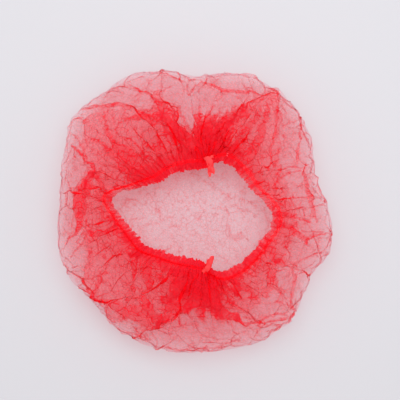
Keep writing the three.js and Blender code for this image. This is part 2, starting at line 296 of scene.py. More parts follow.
FRONT_STRANDS = (
    Strand(6.0, ((-72, -24, 4), (-52, -41, 7), (-30, -52, 8), (-8, -60, 8))),
    Strand(6.0, ((18, -74, 8), (38, -69, 8), (54, -58, 6), (68, -42, 4))),
    Strand(6.8, ((-6, -76, 11), (-20, -95, 8), (-30, -106, 8), (-40, -117, 3.5))),
    Strand(4.1, ((-36, -114, 8), (-50, -112, 8), (-66, -106, 7), (-80, -98, 6), (-95, -92, 4),
                (-108, -86, 2))),
    Strand(4.1, ((-40, -117, 3), (-50, -124, 1.8), (-58, -131, 1.8), (-66, -137, 2))),
    Strand(4.8, ((-56, -42, 8), (-49, -60, 6), (-50, -75, 4), (-52, -88, 3.5), (-46, -102, 4),
                (-40, -112, 5))),
    Strand(3.4, ((-62, -46, 5), (-63, -64, 2), (-66, -85, 1))),
    Strand(3.1, ((-58, -132, 1), (-68, -128, 1), (-82, -125, 0.8))),
    Strand(3.1, ((-58, -132, 1), (-47, -139, 0.8))),
    Strand(2.7, ((-38, -122, 1), (-20, -124, 0.8), (-4, -117, 0.7))),
    Strand(2.4, ((-38, -124, 0.8), (-41, -145, 0.8))),
    Strand(2.7, ((-40, -146, 1), (-20, -147, 1), (10, -146, 1.2), (32, -143, 1), (50, -139, 0.8))),
    Strand(7.8, ((8, -74, 12), (18, -94, 8), (30, -108, 5.5), (42, -113, 3), (52, -121, 1.6))),
    Strand(4.4, ((44, -115, 2.5), (54, -120, 2), (66, -117, 1.6), (82, -116, 1.1), (100, -111, 1),
                (112, -112, 1.2))),
    Strand(3.7, ((60, -119, 0.9), (72, -113, 0.9), (84, -108, 1), (96, -108, 0.9), (112, -111, 0.9))),
    Strand(3.4, ((50, -111, 0.9), (58, -113, 1), (66, -119, 0.8))),
    Strand(3.1, ((36, -100, 1), (48, -92, 0.9), (60, -90, 0.8), (68, -91, 0.8))),
    Strand(3.4, ((52, -78, 3), (61, -85, 1.8), (68, -92, 1))),
    Strand(3.1, ((-33, -77, 0.9), (-24, -84, 0.9), (-16, -91, 0.8))),
)

RIGHT_STRANDS = (
    Strand(2.8, ((58, -46, 5), (74, -60, 3), (84, -74, 2.2), (90, -86, 1))),
    Strand(2.8, ((76, -36, 5), (91, -50, 3), (102, -62, 2), (105, -78, 2.6), (104, -92, 2),
                (111, -109, 1))),
    Strand(2.6, ((88, -93, 0.8), (99, -103, 0.9), (111, -112, 0.8))),
    Strand(4.4, ((88, -10, 3.5), (104, -19, 2.2), (117, -29, 2.2), (118, -34, 0.8))),
    Strand(4.1, ((118, -28, 1.4), (128, -26, 1), (137, -25, 0.8))),
    Strand(3.4, ((113, -20, 0.8), (128, -22, 0.9), (144, -23, 0.9))),
    Strand(4.1, ((86, -1, 2.4), (100, -2, 1.8), (112, -7, 1), (123, -10, 0.7))),
    Strand(4.4, ((88, 14, 2), (96, 15, 1.2), (108, 14, 1.2), (121, 16, 0.9))),
    Strand(3.0, ((118, 53, 0.9), (115, 39, 1.4), (119, 28, 2.4), (121, 15, 3), (125, 2, 2),
                (129, -9, 0.8))),
    Strand(3.1, ((128, 38, 1), (134, 25, 1), (139, 10, 0.8))),
    Strand(3.7, ((123, -64, 1), (114, -65, 1), (109, -70, 0.8))),
    Strand(3.1, ((112, -66, 0.8), (118, -69, 0.9), (123, -75, 0.8))),
)

STRANDS = BACK_LEFT_STRANDS + BACK_RIGHT_STRANDS + LEFT_STRANDS + FRONT_STRANDS + RIGHT_STRANDS

WAVES = (
    Wave(104, -0.1, 0.04, 0.5, 0.0028, 0.0012, 0.6, 3.0),
    Wave(46, 0.0, 0.26, 0.9, 0.0056, 0.0032, 2.0, 2.6),
    Wave(21, 0.15, 0.6, 1.2, 0.0050, 0.0040, 3.0, 3.4),
)

CREASES = (
    Crease(0.032, 0.0013, 0.0022, 0.8, 1.5),
    Crease(0.016, 0.0010, 0.0012, 0.5, 1.1),
)


class Noise:
    """Repeatable smooth noise and crease networks over points in space."""

    PRIMES = np.array([73856093, 19349663, 83492791], dtype=np.int64)

    @classmethod
    def lattice(cls, cells: np.ndarray, seed: int) -> np.ndarray:
        """Gives each lattice cell its own number.

        Args:
            cells: whole numbers, shape (..., 3).
            seed: which set of numbers.

        Returns:
            Numbers from 0 to 1, shape (...).
        """
        mixed = (cells * cls.PRIMES).sum(-1) + seed * 2654435761
        mixed = (mixed ^ (mixed >> 13)) * 1274126177
        mixed = (mixed ^ (mixed >> 16)) * 2246822519
        return ((mixed ^ (mixed >> 15)) & 0xFFFFFF) / 0xFFFFFF

    @classmethod
    def smooth(cls, points: np.ndarray, size: float, seed: int) -> np.ndarray:
        """Smooth noise.

        Args:
            points: places, shape (n, 3).
            size: how wide a bump is, in metres.
            seed: which noise.

        Returns:
            Numbers from -1 to 1, shape (n,).
        """
        scaled = points / size
        cell = np.floor(scaled).astype(np.int64)
        part = scaled - cell
        part = part * part * part * (part * (part * 6 - 15) + 10)
        total = np.zeros(len(points))
        for corner in range(8):
            step = np.array([corner & 1, corner >> 1 & 1, corner >> 2 & 1])
            weight = np.prod(np.where(step == 1, part, 1 - part), axis=1)
            total += weight * cls.lattice(cell + step, seed)
        return total * 2 - 1

    @classmethod
    def layered(cls, points: np.ndarray, grains: tuple[Grain, ...]) -> np.ndarray:
        """Several layers of smooth noise together.

        Args:
            points: places, shape (n, 3).
            grains: the layers.

        Returns:
            The layers' sum at each place, shape (n,).
        """
        total = np.zeros(len(points))
        for grain in grains:
            total += grain.strength * cls.smooth(points, grain.size, grain.seed)
        return total

    @classmethod
    def creases(cls, points: np.ndarray, size: float, width: float, kept: float, seed: int) -> np.ndarray:
        """A branching network of crease lines, along the borders between scattered cells.

        Args:
            points: places, shape (n, 3).
            size: how far apart the cells are, in metres.
            width: how wide a line is, in metres.
            kept: the share of the borders that are creased.
            seed: which network.

        Returns:
            How creased each place is, signed by the way the crease points, from -1 to 1, shape (n,).
        """
        scaled = points / size
        cell = np.floor(scaled).astype(np.int64)
        near = np.full(len(points), np.inf)
        next_near = np.full(len(points), np.inf)
        near_key = np.zeros(len(points))
        next_key = np.zeros(len(points))
        for x in (-1, 0, 1):
            for y in (-1, 0, 1):
                for z in (-1, 0, 1):
                    there = cell + np.array([x, y, z])
                    jitter = np.stack([cls.lattice(there, seed + k) for k in range(3)], axis=-1)
                    key = cls.lattice(there, seed + 3)
                    far = np.linalg.norm(there + jitter - scaled, axis=1)
                    first = far < near
                    second = ~first & (far < next_near)
                    next_near = np.where(first, near, np.where(second, far, next_near))
                    next_key = np.where(first, near_key, np.where(second, key, next_key))
                    near = np.where(first, far, near)
                    near_key = np.where(first, key, near_key)
        border = (near_key + next_key) * 7.13
        border -= np.floor(border)
        line = np.exp(-(((next_near - near) * size / width) ** 2))
        sign = np.where(border * 2 % 1 > 0.5, 1.0, -1.0)
        return line * sign * (border < kept) * (0.4 + 0.6 * border / kept)


@dataclass(frozen=True)
class CapPlan:
    """The cap's driving sizes and the curves that its pieces share."""

    diameter: float = 0.302
    mouth_length: float = 0.170
    frill: float = 0.009
    weld_pull: float = 0.8
    weld_spread: float = math.radians(30)
    shift: tuple[float, float] = (-0.00004, -0.00059)

    def reach(self, table: tuple[Bend, ...], azimuth: np.ndarray) -> np.ndarray:
        """A smooth closed curve through a table of bends.

        Args:
            table: the bends, in order of azimuth.
            azimuth: where to read the curve, in radians.

        Returns:
            The reach at each azimuth, as a share.
        """
        at = np.radians([bend.azimuth for bend in table])
        reach = np.array([bend.reach for bend in table])
        gap = np.diff(np.append(at, at[0] + FULL_TURN))
        chord = np.roll(reach, -1) - np.roll(reach, 1)
        slope = chord / (gap + np.roll(gap, 1))
        angle = np.mod(azimuth - at[0], FULL_TURN)
        i = np.searchsorted(at - at[0], angle, side="right") - 1
        j = (i + 1) % len(table)
        t = (angle - (at[i] - at[0])) / gap[i]
        return (
            (2 * t**3 - 3 * t**2 + 1) * reach[i]
            + (t**3 - 2 * t**2 + t) * slope[i] * gap[i]
            + (3 * t**2 - 2 * t**3) * reach[j]
            + (t**3 - t**2) * slope[j] * gap[i]
        )

    def outline(self, azimuth: np.ndarray) -> np.ndarray:
        """The puffed cap's reach at an azimuth, in metres."""
        return self.diameter / 2 * self.reach(OUTLINE, azimuth)

    def mouth(self, azimuth: np.ndarray) -> np.ndarray:
        """The mouth edge's reach at an azimuth, in metres."""
        return self.mouth_length / 2 * self.reach(MOUTH, azimuth)

    @staticmethod
    def turn(start: np.ndarray, end: np.ndarray) -> np.ndarray:
        """The signed angle from one azimuth to another, within half a turn."""
        return np.mod(end - start + math.pi, FULL_TURN) - math.pi

    def pleat(self, azimuth: np.ndarray) -> np.ndarray:
        """The azimuth at the mouth of the pleat that meets the outline at this azimuth."""
        moved = azimuth.copy()
        for weld in WELDS:
            away = self.turn(math.radians(weld.azimuth), azimuth)
            moved -= self.weld_pull * away * np.exp(-((away / self.weld_spread) ** 2))
        return moved


class Rings:
    """The sheet's surface as rings of points, from the mouth's edge to the middle of the crown."""

    def __init__(self, counts: list[int]) -> None:
        """Sets out the rings.

        Args:
            counts: how many points each ring has.
        """
        self.counts = counts
        self.starts = np.concatenate([[0], np.cumsum(counts)])
        self.points = np.zeros((self.starts[-1], 3))

    def part(self, values: np.ndarray, ring: int) -> np.ndarray:
        """The stretch of a per-point array that belongs to one ring."""
        return values[self.starts[ring] : self.starts[ring + 1]]

    def faces(self) -> list[tuple[int, ...]]:
        """Quads between equal rings, and triangles where a ring has fewer points than the one before.

        Returns:
            The faces as vertex numbers, facing out of the cap.
        """
        made = []
        for ring in range(len(self.counts) - 1):
            here, there = self.counts[ring], self.counts[ring + 1]
            a, b, ratio = self.starts[ring], self.starts[ring + 1], here // there
            for i in range(here):
                after = (i + 1) % here
                low, high = i // ratio, (i + 1) // ratio % there
                if low == high:
                    made.append((a + i, b + low, a + after))
                else:
                    made.append((a + i, b + low, b + high, a + after))
        tip = self.starts[-2]
        made.append(tuple(range(self.starts[-1] - 1, tip - 1, -1)))
        return [tuple(int(v) for v in face) for face in made]

    def normals(self, points: np.ndarray) -> np.ndarray:
        """The outward normals of a surface laid on these rings.

        Args:
            points: the surface's points, shape (n, 3).

        Returns:
            Unit normals, shape (n, 3).
        """
        found = np.zeros_like(points)
        for ring, count in enumerate(self.counts):
            here = self.part(points, ring)
            along = np.roll(here, -1, axis=0) - np.roll(here, 1, axis=0)
            inner = self.resampled(points, max(ring - 1, 0), count)
            outer = self.resampled(points, min(ring + 1, len(self.counts) - 1), count)
            found[self.starts[ring] : self.starts[ring + 1]] = np.cross(outer - inner, along)
        length = np.linalg.norm(found, axis=1, keepdims=True)
        return found / np.maximum(length, 1e-12)

    def resampled(self, values: np.ndarray, ring: int, count: int) -> np.ndarray:
        """A ring's values read at another number of points round it."""
        own = self.part(values, ring)
        return own[np.arange(count) * len(own) // count]

    def lowered(self, values: np.ndarray, harmonics: int, reach: int) -> np.ndarray:
        """The slow part of a field on the rings.

        Args:
            values: a value for each point, shape (n, 3).
            harmonics: the most waves round a ring that are kept.
            reach: how many rings each way are averaged.

        Returns:
            The slow part, shape (n, 3).
        """
        waves = np.zeros((len(self.counts), harmonics + 1, 3), complex)
        for ring, count in enumerate(self.counts):
            spectrum = np.fft.rfft(self.part(values, ring), axis=0) / count
            kept = min(harmonics + 1, len(spectrum))
            waves[ring, :kept] = spectrum[:kept]
        padded = np.concatenate([np.repeat(waves[:1], reach, 0), waves, np.repeat(waves[-1:], reach, 0)])
        mean = sum(padded[k : k + len(waves)] for k in range(2 * reach + 1)) / (2 * reach + 1)
        slow = np.zeros_like(values)
        for ring, count in enumerate(self.counts):
            spectrum = np.zeros((count // 2 + 1, 3), complex)
            kept = min(harmonics + 1, len(spectrum))
            spectrum[:kept] = mean[ring, :kept] * count
            slow[self.starts[ring] : self.starts[ring + 1]] = np.fft.irfft(spectrum, n=count, axis=0)
        return slow


@dataclass(frozen=True)
class Crumpling:
    """How the cloth is simulated: it grows by a share over some frames and so buckles into wrinkles.

    stretch, shear and bend are its stiffnesses, most_moved is how far a point may move in metres, and only
    changes finer than slow_waves round the cap and slow_rings along it are kept.
    """

    growth: float = 0.16
    frames: int = 8
    quality: int = 3
    mass: float = 0.02
    stretch: float = 30
    shear: float = 15
    bend: float = 0.02
    stretch_damping: float = 5
    bend_damping: float = 0.5
    air_damping: float = 4
    pin_reach: float = 0.003
    least_pin: float = 0.3
    slow_waves: int = 14
    slow_rings: int = 5
    most_moved: float = 0.008


@dataclass
class CapSheet:
    """The sheet of non-woven fabric: crown, puffed side, gathered top and frill.

    Attributes:
        plan: the cap's sizes and curves.
        crumpling: the simulation's settings.
        rim_grip: how far past the frill the elastic holds the folds down, in metres.
        rim_hold: the share by which it does.
        fray: how ragged the large folds' edges are.
        jag: how far the mouth's edge wanders, in metres.
        most_layers: the most that the cloth counts as drawn up.
        gather_cover: layers that drawn-up cloth adds, and gather_fall the power that it grows by.
        gather_end: how far past the doubled cloth the gathers reach, as a share of the way out.
        single_cover: the layers that one flat layer counts as.
        rim_gathers: how much denser the gathers are beside the elastic.
        even_gathers: the share of the gathers that shows no stripes.
        least_tilt: the flattest tilt that thickens the cloth.
        fan_cover: layers in the middle of a fan, and the other fan sizes its place and spread in metres.
        doubled_cover: layers that the doubled cloth adds, and hem_cover its hem.
        strand_floor: how high the banded top starts, and the other strand sizes the bands' wander, raggedness
            and height, in metres.
        edge_relief: the share by which an upright wall counts less.
        least_cover: the fewest layers anywhere.
        crease_bend: how far the crease lines stray, and crease_bend_size over what length, in metres.
        flat_crease: the share of a crease's height that the crown keeps, and flat_line of its cover.
        dent_rise: how far the puffs bulge, in metres.
        least_height: how high over the table the cloth stays, in metres.
    """

    plan: CapPlan
    crumpling: Crumpling = Crumpling()
    rim_grip: float = 0.003
    rim_hold: float = 0.55
    fray: float = 0.22
    jag: float = 0.0013
    most_layers: float = 7
    gather_cover: float = 1.45
    gather_end: float = 0.2
    rim_gathers: float = 1.1
    single_cover: float = 0.8
    gather_fall: float = 1.6
    even_gathers: float = 0.35
    least_tilt: float = 0.55
    fan_cover: float = 9.0
    doubled_cover: float = 1.7
    hem_cover: float = 0.9
    fan_reach: float = 0.014
    fan_aside: float = -0.006
    fan_length: float = 0.033
    fan_width: float = 0.038
    strand_floor: float = 0.03
    strand_wander: float = 0.0012
    strand_fray: float = 0.22
    strand_rise: float = 0.0022
    edge_relief: float = 0.65
    least_cover: float = 0.6
    crease_bend: float = 0.004
    crease_bend_size: float = 0.03
    flat_crease: float = 0.3
    flat_line: float = 0.5
    dent_rise: float = 0.003
    least_height: float = 0.0002

    def __post_init__(self) -> None:
        """Sets out the rings and the smooth surface that folds and gathers are laid on."""
        keys = np.array([section[1:5] for section in SECTIONS], float)
        along, counts = [], []
        for index, section in enumerate(SECTIONS):
            steps = max(section.rows, 1)
            along += [index + step / steps for step in range(steps)]
            counts += [section.columns] * steps
        self.rings = Rings(counts)
        profile = np.stack([self.curve(keys[:, k], np.array(along)) for k in range(4)], axis=1)
        self.azimuth = np.concatenate([np.arange(n) * FULL_TURN / n for n in counts])
        self.ring_of = np.repeat(np.arange(len(counts)), counts)
        self.offset, out, self.crown, self.height = profile[self.ring_of].T
        self.out = np.clip(out, 0, 1)
        self.way = self.out + 3 * (1 - self.crown)
        ring = np.stack([np.cos(self.azimuth), np.sin(self.azimuth), self.azimuth * 0], axis=1)
        self.jagged = Noise.layered(ring, JAGS)
        self.base = self.lay(self.azimuth)
        self.base_normals = self.rings.normals(self.base)
        self.flat_place = self.flattened()

    @staticmethod
    def curve(values: np.ndarray, at: np.ndarray) -> np.ndarray:
        """A smooth curve through evenly numbered values that doesn't overshoot them.

        Args:
            values: the values.
            at: where to read the curve, in numbers of values.

        Returns:
            The curve's value at each place.
        """
        i = np.clip(np.floor(at).astype(int), 0, len(values) - 2)
        t = at - i
        step = np.diff(values)
        before, after = np.append(step[0], step), np.append(step, step[-1])
        slope = np.where(before * after > 0, 2 * before * after / (before + after + 1e-18), 0)
        return (
            (2 * t**3 - 3 * t**2 + 1) * values[i]
            + (t**3 - 2 * t**2 + t) * slope[i]
            + (3 * t**2 - 2 * t**3) * values[i + 1]
            + (t**3 - t**2) * slope[i + 1]
        )

    @staticmethod
    def ramp(values: np.ndarray, start: float, end: float) -> np.ndarray:
        """Rises smoothly from 0 at start to 1 at end, or falls where start lies after end."""
        t = np.clip((values - start) / (end - start), 0, 1)
        return t * t * (3 - 2 * t)

    def lay(self, azimuth: np.ndarray) -> np.ndarray:
        """Places the points of the smooth sheet.

        Args:
            azimuth: each point's azimuth at the outline.

        Returns:
            The points, shape (n, 3).
        """
        pleat = self.plan.pleat(azimuth)
        edge = np.clip(1 - self.offset / self.plan.frill, 0, 1)
        inner = self.plan.mouth(pleat) + self.offset + self.jag * edge * self.jagged
        outline = self.plan.outline(azimuth)
        x = np.cos(pleat) * inner * (1 - self.out) + np.cos(azimuth) * outline * self.out
        y = np.sin(pleat) * inner * (1 - self.out) + np.sin(azimuth) * outline * self.out
        x, y = x * self.crown + self.plan.shift[0], y * self.crown + self.plan.shift[1]
        return np.stack([x, y, self.height], axis=1)

    def flattened(self) -> np.ndarray:
        """Where each point lay in the flat sheet, measured from the middle of the crown.

        Returns:
            The places, shape (n, 3).
        """
        steps = [0.0]
        for ring in range(1, len(self.rings.counts)):
            here = self.rings.part(self.base, ring)
            before = self.rings.resampled(self.base, ring - 1, len(here))
            steps.append(float(np.linalg.norm(here - before, axis=1).mean()))
        reach = (np.sum(steps) - np.cumsum(steps))[self.ring_of]
        return np.stack([reach * np.cos(self.azimuth), reach * np.sin(self.azimuth), reach * 0], axis=1)

    def laid_over(self) -> tuple[np.ndarray, np.ndarray]:
        """The large folds.

        Returns:
            How far each point moves round the cap, in radians, and how far it lifts, in metres.
        """
        moved, lifted = np.zeros_like(self.azimuth), np.zeros_like(self.azimuth)
        side = self.ramp(self.crown, 0.93, 0.99)
        ragged = Noise.layered(self.flat_place, FRAYS)
        for number, fold in enumerate(FOLDS):
            middle = math.radians(fold.mouth) + math.radians(fold.outline - fold.mouth) * self.out
            uneven = Noise.smooth(np.stack([self.way, self.way * 0 + number, self.way * 0], axis=1), 0.17, 31)
            width = math.radians(fold.width) * (1 + 0.4 * uneven) * (0.7 + 0.8 * np.sin(math.pi * self.out))
            away = self.plan.turn(middle + 0.4 * width * uneven, self.azimuth) / width
            away += self.fray * ragged
            full = self.ramp(self.way, fold.start - 0.05, fold.start + 0.12)
            full *= self.ramp(self.way, fold.end + 0.12, fold.end - 0.1) * side
            hump = np.exp(-(away**2))
            moved -= full * fold.lap * width * away * hump
            lifted += full * fold.rise * hump * (1 - 1.2 * away)
        return moved, lifted

    def gathered(self) -> tuple[np.ndarray, np.ndarray, np.ndarray]:
        """The folds that the elastic draws up.

        Returns:
            How far each point moves round the cap and how far it lifts, in metres, and how much of the
            drawn-up cloth lies there, from 0 in a trough to 1 on a crest.
        """
        ring = np.stack([np.cos(self.azimuth), np.sin(self.azimuth), self.way * 0.5], axis=1)
        drawn, lifted = np.zeros_like(self.azimuth), np.zeros_like(self.azimuth)
        stripes, weight = np.full_like(self.azimuth, 0.02), np.full_like(self.azimuth, 0.04)
        for number, wave in enumerate(WAVES):
            seed = 40 + 10 * number
            size = 5.0 / wave.count
            uneven = Noise.smooth(ring, 0.3, seed) + 0.6 * Noise.smooth(ring, 2 * size, seed + 1)
            phase = wave.count * self.azimuth + wave.wander * uneven
            strength = np.clip(0.75 + 0.8 * Noise.smooth(ring, size, seed + 2), 0.05, 1.6)
            share = self.ramp(self.way, wave.start, wave.peak) * self.ramp(self.way, wave.end, wave.peak)
            crest = np.exp(wave.pinch * (np.cos(phase) - 1))
            lifted += share * strength * wave.rise * (crest - 0.35)
            drawn -= share * strength * wave.lap * np.sin(phase) * np.sqrt(crest)
            stripes += share * strength * crest
            weight += share
        held = 1 - self.rim_hold * self.ramp(self.offset, self.plan.frill + self.rim_grip, self.plan.frill)
        return drawn * held, lifted * held, np.clip(stripes / weight, 0, 1.2)

    def drawn_up(self) -> np.ndarray:
        """How many times longer the flat sheet is round the cap than the room that it has.

        Returns:
            The ratio at each point, 1 where the sheet isn't gathered.
        """
        ratio = np.ones_like(self.azimuth)
        for ring in range(len(self.rings.counts)):
            here, flat = self.rings.part(self.base, ring), self.rings.part(self.flat_place, ring)
            room = np.linalg.norm(np.roll(here, -1, axis=0) - np.roll(here, 1, axis=0), axis=1)
            cloth = np.linalg.norm(np.roll(flat, -1, axis=0) - np.roll(flat, 1, axis=0), axis=1)
            self.rings.part(ratio, ring)[:] = cloth / np.maximum(room, 1e-9)
        return np.clip(ratio, 1, self.most_layers)

    def creased(self) -> tuple[np.ndarray, np.ndarray]:
        """The creases from handling and packing.

        Returns:
            How far each point lifts, in metres, and how many more layers' worth of fibre it shows.
        """
        lifted, cover = np.zeros_like(self.azimuth), np.zeros_like(self.azimuth)
        wander = [Noise.smooth(self.base, self.crease_bend_size, 60 + k) for k in range(3)]
        place = self.base + self.crease_bend * np.stack(wander, axis=1)
        for number, crease in enumerate(CREASES):
            line = Noise.creases(place, crease.mesh, crease.width, crease.kept, 70 + 10 * number)
            lifted += crease.height * line
            cover += crease.cover * np.abs(line)
        loose = self.ramp(self.height, *LIFT_OFF)
        lifted *= self.flat_crease + (1 - self.flat_crease) * loose
        return lifted, cover * (self.flat_line + (1 - self.flat_line) * loose)

    def stranded(self) -> tuple[np.ndarray, np.ndarray]:
        """The folded-over bands of the gathered top.

        Returns:
            How far each point lifts, in metres, and how many more layers' worth of fibre it shows.
        """
        lifted, cover = np.zeros_like(self.azimuth), np.zeros_like(self.azimuth)
        top = np.flatnonzero((self.height > self.strand_floor) & (self.crown > 0.99))
        wander = np.stack([Noise.smooth(self.base[top], 0.012, 90 + k) for k in range(2)], axis=1)
        place = 1000 * (self.base[top, :2] + self.strand_wander * wander)
        ragged = Noise.layered(self.flat_place[top], BAND_EDGES)
        for strand in STRANDS:
            share, half = np.full(len(top), np.inf), np.ones(len(top))
            for start, end in zip(strand.course, strand.course[1:]):
                step = np.subtract(end[:2], start[:2])
                along = np.clip((place - start[:2]) @ step / (step @ step), 0, 1)
                away = np.linalg.norm(place - start[:2] - along[:, None] * step, axis=1)
                width = start[2] + (end[2] - start[2]) * along
                nearer = away / width < share
                share, half = np.where(nearer, away / width, share), np.where(nearer, width, half)
            share += self.strand_fray * ragged
            inside = self.ramp(share, 1.15, 0.85)
            cover[top] += strand.cover * inside
            rise = np.minimum(self.strand_rise, 0.0005 * half) * math.copysign(1, strand.cover)
            lifted[top] += rise * self.ramp(share, 1.4, 0.2)
        return np.clip(lifted, -self.strand_rise, 1.6 * self.strand_rise), cover

    def doubled(self) -> tuple[np.ndarray, np.ndarray]:
        """The cloth that lies doubled inside the cap, from the elastic out to a ragged edge.

        Returns:
            How far each point lifts, in metres, and how many more layers' worth of fibre it shows.
        """
        ring = np.stack([np.cos(self.azimuth), np.sin(self.azimuth), self.azimuth * 0], axis=1)
        ragged = Noise.layered(self.flat_place, HEMS)
        inside = self.plan.reach(DOUBLED, self.azimuth) + 0.035 * ragged - self.way
        hem = self.ramp(Noise.smooth(ring, 0.3, 39), -0.35, 0.25)
        cover = self.doubled_cover * self.ramp(inside, 0.0, 0.02)
        cover += hem * self.hem_cover * self.ramp(inside, 0.0, 0.02) * self.ramp(inside, 0.15, 0.1)
        return 0.002 * self.ramp(inside, -0.02, 0.03), cover

    def fanned(self) -> np.ndarray:
        """How tightly the pleats are stacked where they converge on the welds.

        Returns:
            A number for each point, 1 in the middle of a fan and 0 away from them.
        """
        stacked = np.zeros_like(self.azimuth)
        for weld in WELDS:
            turn = math.radians(weld.azimuth)
            reach = self.plan.mouth(np.array([turn]))[0] + self.plan.frill
            ahead = np.array([math.cos(turn), math.sin(turn)])
            middle = ahead * (reach + self.fan_reach) + np.array([self.fan_aside, 0])
            away = self.base[:, :2] - middle
            along, across = away @ ahead, away @ np.array([-ahead[1], ahead[0]])
            far = np.hypot(along / self.fan_length, across / self.fan_width)
            far += Noise.layered(self.flat_place, FANS)
            stacked += self.ramp(far, 1.2, 0.6) * (self.height > 0.03)
        return stacked

    def covered(self, points: np.ndarray, creases: np.ndarray, stripes: np.ndarray) -> np.ndarray:
        """How many layers' worth of fibre is seen at each point from outside.

        Args:
            points: the finished points, shape (n, 3).
            creases: what the creases and bands add, shape (n,).
            stripes: how much of the drawn-up cloth lies at each point, shape (n,).

        Returns:
            The cover, 1 where a single layer lies flat, shape (n,).
        """
        tilt = np.abs((self.rings.normals(points) * self.base_normals).sum(axis=1))
        uneven = self.even_gathers + (1 - self.even_gathers) * 2 * stripes
        gathers = self.gather_cover * (self.drawn_up() - 1) ** self.gather_fall
        reached = self.plan.reach(DOUBLED, self.azimuth) + self.gather_end
        gathers *= self.ramp(self.way / reached, 1.0, 0.0)
        gathers *= 1 + self.rim_gathers * self.ramp(self.offset, 0.0, 0.004) * self.ramp(self.way, 0.16, 0.02)
        upright = 1 - np.abs(self.base_normals[:, 2])
        seen = 1 - self.edge_relief * self.ramp(upright, 0.3, 0.8)
        total = self.single_cover / np.maximum(tilt, self.least_tilt) + creases + gathers * uneven
        total += self.fan_cover * self.fanned()
        return np.maximum(total, self.least_cover) * seen

    def shaped(self) -> tuple[np.ndarray, np.ndarray, np.ndarray]:
        """The sheet with its folds, gathers, dents and creases, before it is crumpled.

        Returns:
            The points, shape (n, 3), the creases' cover and the gathers' stripes, each of shape (n,).
        """
        turned, lapped = self.laid_over()
        drawn, gathered, stripes = self.gathered()
        creased, cover = self.creased()
        banded, band_cover = self.stranded()
        doubled, doubled_cover = self.doubled()
        points = self.lay(self.azimuth + turned)
        dents = self.dent_rise * Noise.layered(self.base, DENTS)
        dents *= self.ramp(self.height, 0, 0.012) * self.ramp(self.way, 0, 0.3)
        round_cap = np.stack([-np.sin(self.azimuth), np.cos(self.azimuth), np.zeros_like(drawn)], axis=1)
        lift = lapped + gathered + creased + banded + doubled + dents
        points += round_cap * drawn[:, None] + self.base_normals * lift[:, None]
        return points, cover + band_cover + doubled_cover, stripes

    def crumpled(self, points: np.ndarray) -> np.ndarray:
        """Lets the sheet grow as cloth, so that it buckles into small wrinkles.

        Args:
            points: the sheet before it is crumpled, shape (n, 3).

        Returns:
            The crumpled points, shape (n, 3).
        """
        way = self.crumpling
        cloth = self.mesh_object("crumpling", points)
        pins = cloth.vertex_groups.new(name="pins")
        held = np.exp(-(((self.offset - self.plan.frill) / way.pin_reach) ** 2)) * (self.out < 0.02)
        for index in np.flatnonzero(held > way.least_pin):
            pins.add([int(index)], float(held[index]), "REPLACE")
        modifier = cloth.modifiers.new("cloth", "CLOTH")
        settings = modifier.settings
        settings.quality = way.quality
        settings.mass = way.mass
        settings.tension_stiffness = settings.compression_stiffness = way.stretch
        settings.shear_stiffness = way.shear
        settings.bending_stiffness = way.bend
        settings.tension_damping = settings.compression_damping = way.stretch_damping
        settings.shear_damping = way.stretch_damping
        settings.bending_damping = way.bend_damping
        settings.air_damping = way.air_damping
        settings.shrink_min = -way.growth
        settings.effector_weights.gravity = 0
        settings.vertex_group_mass = pins.name
        modifier.point_cache.frame_start = 1
        modifier.point_cache.frame_end = way.frames
        for number in range(1, way.frames + 1):
            bpy.context.scene.frame_set(number)
        grown = cloth.evaluated_get(bpy.context.evaluated_depsgraph_get()).to_mesh()
        found = np.zeros(len(points) * 3, np.float32)
        grown.vertices.foreach_get("co", found)
        bpy.context.scene.frame_set(1)
        mesh = cloth.data
        bpy.data.objects.remove(cloth)
        bpy.data.meshes.remove(mesh)
        change = found.reshape(-1, 3).astype(float) - points
        change -= self.rings.lowered(change, way.slow_waves, way.slow_rings)
        far = np.linalg.norm(change, axis=1, keepdims=True)
        change *= np.minimum(1, way.most_moved / np.maximum(far, 1e-9))
        change *= self.flat_crease + (1 - self.flat_crease) * self.ramp(self.height, *LIFT_OFF)[:, None]
        LOG.info("crumpling moved points by %.1f mm on average", far.mean() * 1000)
        return points + change

    def mesh_object(self, name: str, points: np.ndarray) -> bpy.types.Object:
        """Makes a smooth-shaded object from points on the rings.

        Args:
            name: the object's name.
            points: its points, shape (n, 3).

        Returns:
            The object, linked to the scene.
        """
        mesh = bpy.data.meshes.new(name)
        mesh.from_pydata(points.tolist(), [], self.rings.faces())
        mesh.polygons.foreach_set("use_smooth", [True] * len(mesh.polygons))
        mesh.update()
        made = bpy.data.objects.new(name, mesh)
        bpy.context.scene.collection.objects.link(made)
        return made

    def build(self) -> bpy.types.Object:
        """Makes the finished sheet.

        Returns:
            The sheet, with its cover, flat_place and smooth_place attributes.
        """
        points, creases, stripes = self.shaped()
        points = self.crumpled(points)
        points[:, 2] = np.maximum(np.abs(points[:, 2]), self.least_height)
        sheet = self.mesh_object("cap_fabric", points)
        cover = sheet.data.attributes.new("cover", "FLOAT", "POINT")
        cover.data.foreach_set("value", self.covered(points, creases, stripes).astype(np.float32))
        for name, values in (("flat_place", self.flat_place), ("smooth_place", self.base)):
            place = sheet.data.attributes.new(name, "FLOAT_VECTOR", "POINT")
            place.data.foreach_set("vector", values.astype(np.float32).ravel())
        return sheet


